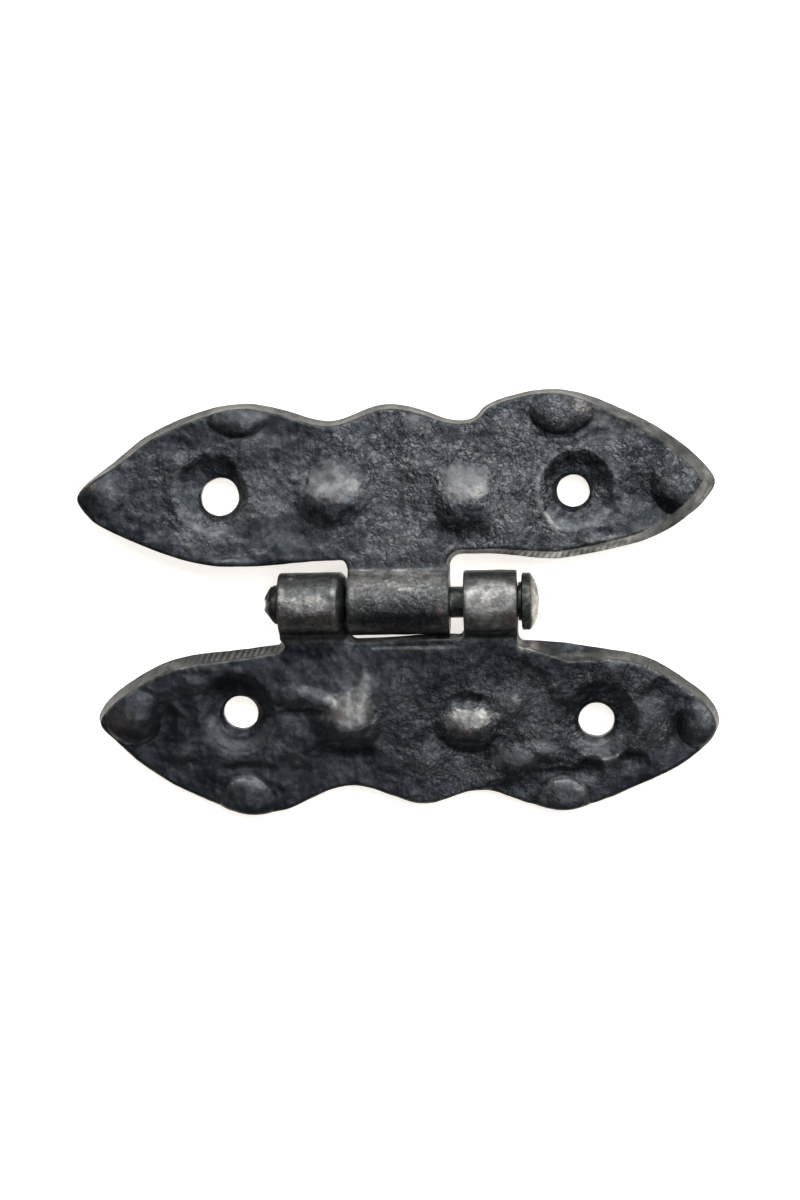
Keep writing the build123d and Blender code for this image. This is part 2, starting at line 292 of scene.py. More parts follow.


# Patches: pixel x, pixel y, half width, half height, strength, which gives a crisper edge above 1.
# Pale is worn iron and painted light, bare is rubbed bright iron and painted highlights,
# dark is soot and painted shade, brown is rubbed brown, grit is coarse grain.
# On a facet the cut edge looks like the face, and a stripe has the marks of the shears.
upper_patches = {
    # Pale: worn iron, and painted light on the lit upper sides of the studs, the roll's top and the
    # dishes' lower edges
    "pale": [
        (333, 484, 33, 23, 1.3), (464, 482, 27, 21, 2.0), (473, 491, 17, 11, 2.0),
        (565, 408, 27, 18, 0.35), (550, 403, 14, 12, 0.45), (684, 470, 22, 13, 0.4),
        (240, 415, 30, 13, 0.5), (413, 423, 16, 15, 0.8), (538, 502, 8, 34, 0.5),
        (108, 486, 18, 12, 0.4), (398, 579, 54, 13, 1.0), (400, 592, 46, 8, 0.4),
        (228, 563, 26, 4, 0.7), (640, 450, 20, 12, 0.3), (505, 430, 24, 15, 0.5),
        (520, 512, 26, 26, 0.5), (580, 526, 30, 8, 0.5), (290, 479, 9, 6, 0.6),
        (612, 446, 8, 14, 0.5), (650, 530, 30, 10, 0.35), (186, 512, 12, 12, 0.2),
        (400, 545, 40, 14, 0.5), (275, 500, 14, 30, 0.2), (410, 490, 40, 60, 0.35),
        (500, 480, 36, 60, 0.35), (176, 466, 12, 4, 0.4), (262, 540, 30, 5, 0.3),
        *bow(214, 494, 38, 39, 232, 325, 5, 0.95), *bow(220.5, 497, 26, 26, -60, 45, 1.8, 0.8),
        (225, 529, 26, 8, 0.8), (265, 505, 22, 34, 0.35), (592, 538, 7, 5, 0.7),
        *bow(577, 490, 40, 43, 150, 245, 3.5, 1.0), *bow(577, 489, 39, 41, 30, 140, 1.8, 0.5),
        *bow(577, 490, 34, 38, 215, 325, 6, 0.7),
    ],
    # Bare: rubbed bright iron, and painted highlights on the roll, the stud tops and the lower cut edge
    "bare_and_highlight": [
        (368, 567, 13, 1.3, 0.5), (401, 569, 11, 1.3, 0.5), (550, 558, 70, 8, 1.0),
        (640, 546, 60, 12, 0.7), (710, 500, 16, 22, 0.5), (714, 468, 10, 24, 0.4),
        (655, 412, 70, 22, 0.2), (457, 565, 7, 16, 0.7), (314, 489, 11, 8, 0.3),
        (349, 487, 11, 8, 0.25), (468, 488, 20, 9, 0.15), (476, 492, 12, 8, 0.5),
        (352, 590, 3, 16, 0.3), (580, 404, 9, 8, 0.2), (398, 577, 60, 14, 1.0),
        *bow(577, 490, 38, 43, 195, 240, 2.2, 0.45), *bow(220.5, 497, 26, 26, -60, 45, 1.5, 0.1),
    ],
    # Dark: soot, and painted shade under the studs, on the dishes' upper walls, under the roll and
    # along the lower edges
    "dark": [
        (333, 469, 30, 14, 0.35), (326, 504, 14, 8, 0.5), (462, 470, 26, 13, 0.3),
        (214, 465, 34, 14, 1.0), (573, 492, 27, 28, 0.7), (666, 507, 25, 12, 0.9),
        *bow(577, 490, 30, 31, 35, 145, 9, 1.0), *bow(209, 493, 30, 32, 35, 150, 8, 1.0),
        *bow(334, 496, 24, 24, 222, 318, 8, 0.9), (463, 514, 30, 9, 1.0), (460, 526, 36, 15, 0.9),
        (239, 437, 24, 5, 0.9), (204, 420, 9, 8, 0.6), (273, 421, 11, 11, 0.7),
        *bow(562, 412, 29, 24, 205, 335, 3, 1.0), (88, 478, 12, 12, 0.7), (100, 468, 14, 12, 0.7),
        (116, 457, 14, 12, 0.7), (130, 446, 16, 12, 0.7), (146, 436, 16, 12, 0.7),
        (162, 427, 16, 12, 0.7), (178, 417, 16, 12, 0.7), (197, 409, 18, 10, 0.7),
        (235, 403, 24, 5, 0.5), (300, 415, 40, 8, 0.4), *bow(592, 537, 15, 9, 0, 360, 2.5, 0.8),
        (570, 402, 6, 5, 0.6), (112, 531, 26, 10, 0.7), (172, 445, 20, 8, 0.6),
        (140, 500, 40, 50, 0.65), (640, 482, 24, 30, 0.7), (220, 549, 50, 8, 0.5),
        (450, 535, 30, 14, 0.6), (398, 623, 56, 15, 1.0), (90, 512, 18, 16, 0.6),
        (300, 435, 30, 14, 0.6), (610, 428, 26, 14, 0.6), (480, 440, 20, 12, 0.4),
        (150, 436, 90, 18, 0.5), (612, 412, 18, 7, 0.7), (636, 423, 20, 8, 0.9),
        (662, 437, 18, 9, 0.9), (682, 450, 12, 8, 0.8), (620, 500, 12, 20, 0.4),
        (540, 540, 30, 10, 0.5), (270, 455, 34, 34, 0.45), (300, 540, 40, 14, 0.4),
        (640, 520, 26, 10, 0.4), (676, 482, 32, 32, 0.35), (649, 487, 8, 22, 0.7),
        (150, 549, 30, 9, 0.9), (200, 566, 34, 5, 0.9), (285, 564, 44, 6, 0.9),
        (110, 490, 40, 40, 0.5),
    ],
    "brown": [
        (335, 499, 12, 7, 0.3), (450, 496, 12, 5, 0.3), (88, 487, 9, 9, 0.4),
        (580, 406, 12, 10, 0.3), (441, 610, 6, 9, 0.9),
    ],
    "grit": [
        (470, 470, 200, 130, 1.0), (660, 460, 70, 70, 1.0), (398, 612, 70, 45, 0.75),
        (200, 490, 120, 80, 0.6),
    ],
    "facet": [],
    "stripe": [(575, 556, 110, 20, 1.0)],
}
lower_patches = {
    # Pale: worn iron, and painted light on the lit tops of the studs and knuckles and the dishes' lower
    # edges
    "pale": [
        (348, 709, 32, 20, 1.0), (364, 694, 11, 32, 0.9), (350, 686, 36, 28, 0.55),
        (468, 717, 32, 12, 1.0), (292, 692, 16, 6, 0.2), (316, 695, 18, 6, 0.2),
        (610, 667, 18, 11, 0.6), (142, 707, 20, 17, 0.3), (704, 718, 18, 18, 0.6),
        (572, 649, 34, 10, 0.1), (602, 747, 26, 11, 0.9), (189, 685, 16, 9, 0.4),
        (178, 753, 20, 9, 0.4), (510, 702, 20, 26, 0.7), (518, 757, 24, 13, 0.9),
        (498, 761, 9, 8, 0.8), (648, 712, 22, 30, 0.7), (430, 760, 30, 20, 0.5),
        (308, 598, 30, 20, 0.6), (490, 600, 26, 24, 0.9), (660, 745, 18, 12, 0.5),
        (545, 745, 24, 16, 0.7), (400, 700, 26, 24, 0.4), (625, 690, 26, 12, 0.5),
        (470, 775, 30, 12, 0.5), (530, 705, 34, 50, 0.6), (600, 742, 28, 13, 0.7),
        *bow(240, 714, 31, 33, 190, 345, 6, 0.9), *bow(240, 714, 37, 40, 200, 340, 1.8, 0.7),
        *bow(247, 802, 23, 22, 10, 170, 4.5, 0.8), *bow(564, 802, 22, 20, 10, 170, 4, 0.8),
        *bow(601, 722, 36, 37, 235, 315, 2.2, 0.9),
    ],
    # Bare: rubbed bright iron, and painted highlights across the knuckles and the stud tops
    "bare_and_highlight": [
        (308, 606, 30, 8, 0.8), (333, 602, 3.5, 26, 0.4), (281, 602, 4, 22, 0.4),
        (490, 602, 32, 21, 1.0), (466, 600, 3, 26, 0.3), (516, 602, 3, 26, 0.3),
        (415, 648, 44, 2.2, 0.7), (350, 710, 28, 20, 0.85), (362, 712, 12, 16, 0.9),
        (365, 694, 7, 28, 0.3), (469, 718, 32, 12, 0.8), (452, 718, 10, 8, 0.3),
        (516, 699, 6, 7, 0.5), (505, 704, 14, 14, 0.12), (596, 690, 16, 1.8, 0.4),
        (528, 647, 12, 7, 0.5), (655, 655, 50, 9, 0.2), (200, 668, 70, 4, 0.15),
        (572, 657, 28, 1.8, 0.35), (570, 641, 30, 1.5, 0.3),
        *bow(601, 722, 36, 37, 240, 310, 1.5, 0.3), *bow(247, 802, 25, 24, 40, 140, 1.5, 0.15),
        *bow(564, 802, 24, 22, 40, 140, 1.5, 0.15),
    ],
    # Dark: soot, and painted shade under the knuckles, between them, on the edge in the roll's shadow
    # and under the studs
    "dark": [
        (238, 684, 40, 12, 0.9), (600, 688, 36, 10, 0.8), (170, 722, 34, 40, 0.8),
        (467, 744, 32, 11, 1.0), (346, 748, 42, 14, 1.0), (304, 712, 28, 6, 1.0),
        (588, 766, 15, 9, 1.0), (634, 757, 14, 9, 1.0), (679, 731, 8, 19, 1.0),
        (126, 736, 24, 14, 0.8), (250, 808, 26, 8, 0.6), (420, 660, 60, 10, 0.7),
        (310, 650, 36, 10, 1.0), (490, 652, 34, 10, 1.0), (308, 634, 32, 8, 1.0),
        (492, 634, 28, 8, 1.0), (470, 700, 15, 5, 0.7), (300, 780, 50, 14, 0.6),
        (341, 606, 4.5, 40, 1.0), (200, 785, 44, 20, 0.6), (405, 643, 60, 4, 1.0),
        (270, 680, 20, 14, 0.6), (560, 808, 24, 6, 0.6), (440, 680, 40, 10, 0.6),
        (650, 780, 34, 12, 0.5), (597, 706, 28, 18, 0.4), (240, 706, 28, 22, 0.5),
        (570, 670, 26, 10, 0.8), (572, 650, 30, 8, 0.35), (500, 785, 26, 8, 0.7),
        (492, 739, 28, 6, 0.8), (533, 777, 14, 7, 0.7), (560, 700, 18, 14, 0.5),
        (550, 720, 14, 26, 0.4), (660, 690, 24, 10, 0.5), (400, 740, 34, 12, 0.5),
        (210, 672, 60, 4, 0.6), (530, 668, 50, 16, 0.8), *bow(247, 802, 30, 29, 20, 160, 3, 0.7),
        *bow(564, 802, 29, 27, 20, 160, 3, 0.7),
    ],
    "brown": [
        (334, 713, 12, 7, 0.7), (465, 731, 16, 6, 0.8), (122, 720, 16, 18, 0.3),
        (319, 621, 14, 6, 1.0), (282, 620, 6, 12, 0.9), (509, 618, 10, 9, 1.0),
    ],
    "grit": [
        (500, 730, 150, 100, 0.8), (620, 700, 100, 80, 0.8), (308, 605, 44, 50, 0.45),
        (490, 605, 40, 50, 0.3),
    ],
    "facet": [(572, 648, 34, 12, 1.0)],
    "stripe": [(235, 655, 60, 24, 1.0), (150, 675, 50, 24, 0.4)],
}


def rows(*columns):
    """Columns of numbers side by side, as rows."""
    return np.stack(columns, axis=-1)


def unit(vector):
    """A vector of length one."""
    return np.array(vector) / np.linalg.norm(vector)


# The camera's place and directions
view = unit((tan(radians(lean_right)), tan(radians(lean_up)), 1.0))
level = unit(np.cross((0.0, 1.0, 0.0), view))
upright = np.cross(view, level)
roll = radians(roll_angle)
camera_right = cos(roll) * level - sin(roll) * upright
camera_up = sin(roll) * level + cos(roll) * upright
camera_place = np.array(look_at) + distance * view


def rest_slope(reach):
    """Slope at which a leaf's back edge lies on the table beside its own knuckle."""
    return asin(knuckle_radius / hypot(reach, back_height)) + atan2(back_height, reach)


class Leaf:
    """One leaf: its name and place, and the shapes that are struck into it."""

    def __init__(self, name, body, side, outline, straps, features, holes, lean, patches, seed):
        self.name, self.body, self.side, self.seed = name, body, side, seed
        self.straps, self.lean = straps, lean
        places = [(x * leaf_length / 2, bend_line + y * leaf_depth) for x, y in outline]
        self.outline = smooth_loop(places)
        self.slope = rest_slope(self.outline[:, 1].max())
        self.features, self.patches = features, patches
        self.holes = [(*self.spot(px, py, throat_height), *radii) for px, py, *radii in holes]

    def to_world(self, x, u, w):
        """Points of the leaf's own frame on the table."""
        x, y = self.side * x, self.side * u
        c, s = cos(self.slope), self.side * sin(self.slope)
        return rows(x, y * c + w * s, knuckle_radius - y * s + w * c)

    def from_world(self, vector):
        """A direction of the table in the leaf's own frame."""
        x, y, z = vector
        c, s = cos(self.slope), self.side * sin(self.slope)
        return self.side * x, self.side * (y * c - z * s), y * s + z * c

    def spot(self, px, py, height=face_height):
        """Where a pixel's ray meets the leaf at a height in its sheet, as x and v on the flat sheet."""
        ray = distance * -view
        ray = ray + pixel * (px - look_at_pixel[0]) * camera_right
        ray = ray - pixel * (py - look_at_pixel[1]) * camera_up
        start_x, start_u, start_w = self.from_world(camera_place - (0, 0, knuckle_radius))
        step_x, step_u, step_w = self.from_world(ray)
        t = (height - start_w) / step_w
        if start_u + t * step_u >= bend_line:
            return start_x + t * step_x, start_u + t * step_u
        a = step_u**2 + step_w**2
        b = start_u * step_u + start_w * step_w
        t = (-b - sqrt(max(b**2 - a * (start_u**2 + start_w**2 - knuckle_radius**2), 0.0))) / a
        angle = atan2(start_w + t * step_w, start_u + t * step_u) % (2 * pi)
        return start_x + t * step_x, bend_line - neck_length - (angle - neck_angle) * roll_radius


def even(loop, step):
    """A closed line of points, spaced evenly."""
    ends = np.vstack([loop, loop[:1]])
    run = np.concatenate([[0.0], np.cumsum(np.linalg.norm(np.diff(ends, axis=0), axis=1))])
    places = np.linspace(0, run[-1], max(int(run[-1] / step), 8), endpoint=False)
    return rows(np.interp(places, run, ends[:, 0]), np.interp(places, run, ends[:, 1]))


def smooth_loop(points):
    """The smooth closed line through the points, running forward along the leaf's inner edge."""
    p = np.array(points)
    n = len(p)
    after = np.linalg.norm(np.roll(p, -1, 0) - p, axis=1)
    before = np.roll(after, 1)
    matrix = np.diag(2 * (before + after))
    for i in range(n):
        matrix[i, (i + 1) % n] += after[i]
        matrix[i, i - 1] += before[i]
    slopes = (np.roll(p, -1, 0) - p) / after[:, None]
    bends = np.linalg.solve(matrix, 6 * (slopes - np.roll(slopes, 1, 0)))
    t = np.linspace(0, 1, curve_steps, endpoint=False)[:, None]
    pieces = []
    for i in range(n):
        j, d = (i + 1) % n, after[i]
        curve = ((1 - t)**3 - (1 - t)) * bends[i] + (t**3 - t) * bends[j]
        pieces.append((1 - t) * p[i] + t * p[j] + curve * d**2 / 6)
    loop = np.vstack(pieces)
    x, y = loop.T
    if np.sum(x * np.roll(y, -1) - y * np.roll(x, -1)) < 0:
        loop = loop[::-1]
    return even(loop, fine_step)


def arc(centre, radius, start, end):
    """Points on a part of a circle, with angles in degrees."""
    t = np.radians(np.linspace(start, end, arc_points))
    return rows(centre[0] + radius * np.cos(t), centre[1] + radius * np.sin(t))


def with_straps(loop, straps):
    """The leaf's outline with its straps laid flat, running to the end of their rolls."""
    start = int(np.argmin(loop[:, 0]))
    loop = np.roll(loop, -start, axis=0)
    inner = loop[:int(np.argmax(loop[:, 0]))]
    outer = loop[len(inner):]
    pieces, done = [], -1e9
    for left, right, left_root, right_root in sorted(straps):
        pieces.append(inner[(inner[:, 0] > done) & (inner[:, 0] < left - left_root)])
        edge = np.interp((left - left_root, right + right_root), inner[:, 0], inner[:, 1])
        pieces.append(arc((left - left_root, edge[0] - left_root), left_root, 90, 0))
        pieces.append(np.array([(left, strap_end), (right, strap_end)]))
        pieces.append(arc((right + right_root, edge[1] - right_root), right_root, 180, 90))
        done = right + right_root
    pieces.append(inner[inner[:, 0] > done])
    return even(np.vstack(pieces + [outer]), edge_step)


def inward(loop):
    """Directions into the area of a loop that runs anticlockwise."""
    along = np.roll(loop, -1, 0) - np.roll(loop, 1, 0)
    along /= np.linalg.norm(along, axis=1)[:, None]
    return rows(-along[:, 1], along[:, 0])


def tree_of(points):
    """A tree for finding the nearest of these points."""
    tree = KDTree(len(points))
    for i, (x, y) in enumerate(points):
        tree.insert((x, y, 0.0), i)
    tree.balance()
    return tree


def nearest(tree, points):
    """Index and distance of the nearest point of a tree, for each point."""
    found = [tree.find((x, y, 0.0))[1:] for x, y in points]
    return np.array([i for i, _ in found]), np.array([d for _, d in found])


def waves(x, y, size, seed):
    """Smooth random heights from about -1 to 1, with hills of a size in mm."""
    angles = np.random.default_rng(seed).random((wave_grid, wave_grid)) * 2 * pi
    gx, gy = x / size, y / size
    ix, iy = np.floor(gx).astype(int), np.floor(gy).astype(int)
    fx, fy = gx - ix, gy - iy

    def corner(dx, dy):
        angle = angles[(ix + dx) % wave_grid, (iy + dy) % wave_grid]
        return np.cos(angle) * (fx - dx) + np.sin(angle) * (fy - dy)

    ease_x, ease_y = (f**3 * (f * (f * 6 - 15) + 10) for f in (fx, fy))
    low = corner(0, 0) + ease_x * (corner(1, 0) - corner(0, 0))
    high = corner(0, 1) + ease_x * (corner(1, 1) - corner(0, 1))
    return 1.5 * (low + ease_y * (high - low))


def wave_sum(x, y, sizes, seed):
    """Waves of several sizes and heights together, each with a seed of its own."""
    return sum(height * waves(x, y, size, seed + i) for i, (size, height) in enumerate(sizes))


def ease(value, low, high):
    """0 below low, 1 above high and smooth between."""
    t = np.clip((value - low) / (high - low), 0, 1)
    return t * t * (3 - 2 * t)


def hill(leaf, x, v, px, py, wide, above, below, turn=0.0):
    """Squared share of the way from a feature's middle to its edge, and the share of it upwards."""
    cx, cv = leaf.spot(px, py)
    t = radians(turn)
    right, up = leaf.side * (x - cx) / pixel, leaf.side * (v - cv) / pixel
    along, across = right * cos(t) + up * sin(t), up * cos(t) - right * sin(t)
    along, across = along / wide, across / np.where(across > 0, above, below)
    return along**2 + across**2, across


def patched(leaf, layer, x, v):
    """Strength of a layer's patches, ragged at their edges."""
    noise = wave_sum(x, v, ragged_waves, leaf.seed + 40)
    value = np.zeros_like(x)
    for px, py, wide, tall, strength in leaf.patches[layer]:
        share, _ = hill(leaf, x, v, px, py, wide, tall, tall)
        value = np.maximum(value, strength * np.clip(patch_reach - share + patch_ragged * noise, 0, 1))
    return value


def face_relief(leaf, x, v, rim, crisp):
    """Height of the struck face over the plain sheet, by the distance and crispness of its edge."""
    seed = leaf.seed
    flat = ease(v, bend_line - strap_fade, bend_line + 3 * strap_fade)
    warp_x = x + wave_sum(x, v, feature_warp, seed)
    warp_v = v + wave_sum(x, v, feature_warp, seed + 2)
    z = np.zeros_like(x)
    for px, py, wide, above, below, turn, height, edge, tilt in leaf.features:
        share, up = hill(leaf, warp_x, warp_v, px, py, wide, above, below, turn)
        on_sheet = flat if leaf.spot(px, py)[1] > bend_line else 1 - flat
        z += on_sheet * height * (1 - tilt * up) * np.clip(1 - share, 0, None)**edge
    rough = 1 - pale_calm_share * ease(patched(leaf, "pale", x, v), 0.5, 0.95)
    z += flat * (wave_sum(x, v, face_waves, seed + 4) + rough * wave_sum(x, v, fine_waves, seed + 6))
    z += (1 - flat) * (wave_sum(x, v, roll_waves, seed + 9) - roll_inset)
    round_over = (leaf_round * flat + roll_round * (1 - flat)) * (1 - crisp_loss * crisp)
    z -= round_share * round_over * np.clip(1 - rim / round_over, 0, 1)**2
    for cx, cv, _, sink in leaf.holes:
        reach = np.hypot(x - cx, v - cv)
        seat = reach - sink - seat_depth + wave_sum(x, v, [seat_wave], seed + 11)
        z = np.where(reach < sink + seat_reach, np.minimum(z, seat), z)
    return np.clip(z, least_sheet - sheet, None)


def fold(x, v, h):
    """Points of the flat sheet on the bent leaf, in its own frame."""
    past = bend_line - v
    neck = np.clip(past, 0, neck_length) / neck_mid_radius
    turn = neck_angle + np.clip(past - neck_length, 0, None) / roll_radius
    u = np.where(past < neck_length, bend_line - (neck_mid_radius - h) * np.sin(neck),
                 (roll_radius + h) * np.cos(turn))
    w = np.where(past < neck_length, neck_height - (neck_mid_radius - h) * np.cos(neck),
                 (roll_radius + h) * np.sin(turn))
    return x, np.where(past < 0, v, u), w


def lattice(loops, step, gap):
    """Points in even triangles inside the first loop, outside the others and clear of them all."""
    low, high = loops[0].min(0), loops[0].max(0)
    xs = np.arange(low[0], high[0], step)
    ys = np.arange(low[1], high[1], step * sqrt(3) / 2)
    x, y = np.meshgrid(xs, ys)
    x = x + step / 2 * (np.arange(len(ys)) % 2)[:, None]
    points = rows(x.ravel(), y.ravel())
    for number, loop in enumerate(loops):
        index, reach = nearest(tree_of(loop), points)
        within = np.sum((points - loop[index]) * inward(loop)[index], axis=1) > 0
        points = points[(within == (number == 0)) & (reach > gap)]
    return points


def fill(loops, inside):
    """Triangles over the first loop's area, without the other loops', through all the points."""
    edges, starts, start = [], [], 0
    for loop in loops:
        count = len(loop)
        edges += [(start + i, start + (i + 1) % count) for i in range(count)]
        starts.append(start)
        start += count
    points = [Vector(p) for p in np.vstack([*loops, inside])]
    _, _, faces, source, _, _ = delaunay_2d_cdt(points, edges, [], 1, 1e-7)
    faces = np.array([[source[i][0] for i in face] for face in faces])
    ring = np.searchsorted([*starts, start], faces, side="right") - 1
    first = ring[:, :1]
    in_hole = np.all(ring == first, axis=1) & (first[:, 0] > 0) & (first[:, 0] < len(loops))
    return faces[~in_hole].tolist()


def write_mesh(name, points, faces, layers):
    """A smooth mesh object in metres, with named values on its points."""
    mesh = bpy.data.meshes.new(name)
    mesh.from_pydata((points / 1000).tolist(), [], faces)
    mesh.validate()
    mesh.update()
    mesh.polygons.foreach_set("use_smooth", [True] * len(mesh.polygons))
    mesh.set_sharp_from_angle(angle=radians(sharp_angle))
    for layer, values in layers.items():
        attribute = mesh.attributes.new(layer, "FLOAT", "POINT")
        attribute.data.foreach_set("value", np.asarray(values, np.float32))
    thing = bpy.data.objects.new(name, mesh)
    bpy.context.scene.collection.objects.link(thing)
    return thing


def lean_along(leaf, loop):
    """How far the cut edge leans in, for each point of the outline."""
    tree = tree_of(loop)
    stops = np.array([leaf.spot(px, py) for px, py, _ in leaf.lean])
    index, _ = nearest(tree, stops)
    order = np.argsort(index)
    places, values = index[order], np.array([lean for *_, lean in leaf.lean])[order]
    lean = np.interp(np.arange(len(loop)), places, values, period=len(loop))
    straps = ease(loop[:, 1], bend_line + strap_fade, bend_line - strap_fade)
    return lean * (1 - straps) + strap_lean * straps


def make_leaf(leaf):
    """The whole leaf as one closed mesh: struck face, leaning cut edge, plain back and hole walls."""
    outline = with_straps(leaf.outline, leaf.straps)
    into = inward(outline)
    ripple = outline_inset + wave_sum(*outline.T, outline_waves, leaf.seed + 50)
    ripple = ripple * ease(outline[:, 1], bend_line, bend_line + strap_fade)
    outline = outline + ripple[:, None] * into
    lean = lean_along(leaf, outline)
    rim_loop = outline + lean[:, None] * into
    turns = np.linspace(0, 2 * pi, hole_steps, endpoint=False)
    rings = []
    for cx, cv, radius, _ in leaf.holes:
        wobble = hole_wobble * waves(3 * np.cos(turns), 3 * np.sin(turns), 1.6, leaf.seed + 20)
        reach = radius * (1 + wobble)
        rings.append(rows(cx + reach * np.cos(turns), cv + reach * np.sin(turns)))
    face_loops = [rim_loop, *rings]
    extra = [rim_loop + step * into for step in rim_steps]
    extra += [ring + step * -inward(ring) for ring in rings for step in rim_steps]
    tree = tree_of(even(rim_loop, fine_step))
    extra = np.vstack(extra)
    extra = extra[nearest(tree, extra)[1] > 0.9 * rim_steps[0]]
    inside = np.vstack([extra, lattice(face_loops, face_step, rim_steps[-1] + clear_share * face_step)])
    face_faces = fill(face_loops, inside)
    flat = np.vstack([*face_loops, inside])
    x, v = flat.T
    rim = nearest(tree, flat)[1]
    crisp = ease(lean[nearest(tree_of(rim_loop), flat)[0]], *crisp_leans)
    h = half_sheet + face_relief(leaf, x, v, rim, crisp)
    face = rows(*fold(x, v, h))

    back_loops = [outline, *rings]
    back_inside = lattice(back_loops, back_step, clear_share * back_step)
    back_faces = fill(back_loops, back_inside)
    back_flat = np.vstack([*back_loops, back_inside])
    back = rows(*fold(*back_flat.T, np.full(len(back_flat), -half_sheet)))

    points = [face, back]
    walls = []
    faces = [*face_faces, *([len(face) + i for i in reversed(f)] for f in back_faces)]
    count = len(face) + len(back)
    first = 0
    for number, loop in enumerate(back_loops):
        size = len(loop)
        top = first + np.arange(size)
        rings_down = [top]
        row_count = wall_rows if number == 0 else hole_rows
        for row in range(1, row_count):
            t = row / row_count
            at = flat[top] * (1 - t) + loop * t
            height = h[top] * (1 - t) - half_sheet * t
            stripe = np.zeros(size)
            if number == 0:
                stripe = shear_stripes(leaf, loop, t)
                at = at + (stripe_depth * sin(pi * t) * (1 - stripe))[:, None] * into
            walls.append(rows(*at.T, stripe))
            points.append(rows(*fold(*at.T, height)))
            rings_down.append(count + np.arange(size))
            count += size
        rings_down.append(len(face) + first + np.arange(size))
        for upper, lower in zip(rings_down, rings_down[1:]):
            quads = rows(upper, lower, np.roll(lower, -1), np.roll(upper, -1))
            faces += quads.tolist() if number == 0 else quads[:, ::-1].tolist()
        first += size
    own = np.vstack(points)
    layers = marks(leaf, rows(x, v, rim, h - half_sheet), len(back), np.vstack(walls))
    return write_mesh(leaf.name + "_iron", leaf.to_world(*own.T), faces, layers)


def shear_stripes(leaf, loop, t):
    """Marks of the shears on a row of the cut edge, from -1 to 1, slanting down the edge."""
    along = np.arange(len(loop)) * edge_step
    drift = stripe_drift * waves(along, 0 * along, 3.0, leaf.seed + 30)
    stripe = np.sin(2 * pi * (along + stripe_slant * t) / stripe_step + drift)
    return stripe * patched(leaf, "stripe", *loop.T)


def marks(leaf, face, back_count, walls):
    """Named values for the iron's material on all points: the face's, the back's, then the edges'."""
    x, v, rim, z = face.T
    wall_x, wall_v, stripe = walls.T
    ends = (bend_line - strap_fade, bend_line + strap_fade)
    on_leaf, wall_on_leaf = ease(v, *ends), ease(wall_v, *ends)
    layers = {}
    for name in leaf.patches:
        layers[name] = [patched(leaf, name, x, v), patched(leaf, name, wall_x, wall_v)]
    # Pale on high spots and dark in hollows: wear and soot, with painted light and shade that bring out
    # the relief
    layers["pale"][0] = np.maximum(layers["pale"][0], high_pale * on_leaf * ease(z, 0.2, 1.2))
    layers["dark"][0] = np.maximum(layers["dark"][0], hollow_dark * on_leaf * ease(-z, 0.2, 1.0))
    layers["grit"][0] *= 1 - pale_smooth * on_leaf * ease(layers["pale"][0], 0.4, 0.9)
    layers["grit"][1] *= edge_grit
    _, striped = layers.pop("stripe")
    # Painted shade in the grooves of the shears' marks and painted highlight on their ridges
    layers["dark"][1] = np.maximum(layers["dark"][1], stripe_dark * striped * ease(-stripe, 0.0, 0.8))
    layers["bare_and_highlight"][1] = np.maximum(layers["bare_and_highlight"][1], stripe_highlight * striped * ease(stripe, 0.2, 0.9))
    noise = wave_sum(x, v, ragged_waves, leaf.seed + 42)
    facet, wall_facet = layers.pop("facet")
    olive = np.maximum(on_leaf * ease(rim + 0.12 * noise, 0.3, 0.0), roll_olive * (1 - on_leaf))
    wall_olive = strap_olive + (1 - strap_olive) * wall_on_leaf
    layers["rim"] = [(1 - facet) * olive, (1 - wall_facet) * wall_olive]
    back = np.zeros(back_count)
    return {name: np.concatenate([front, back, edge]) for name, (front, edge) in layers.items()}


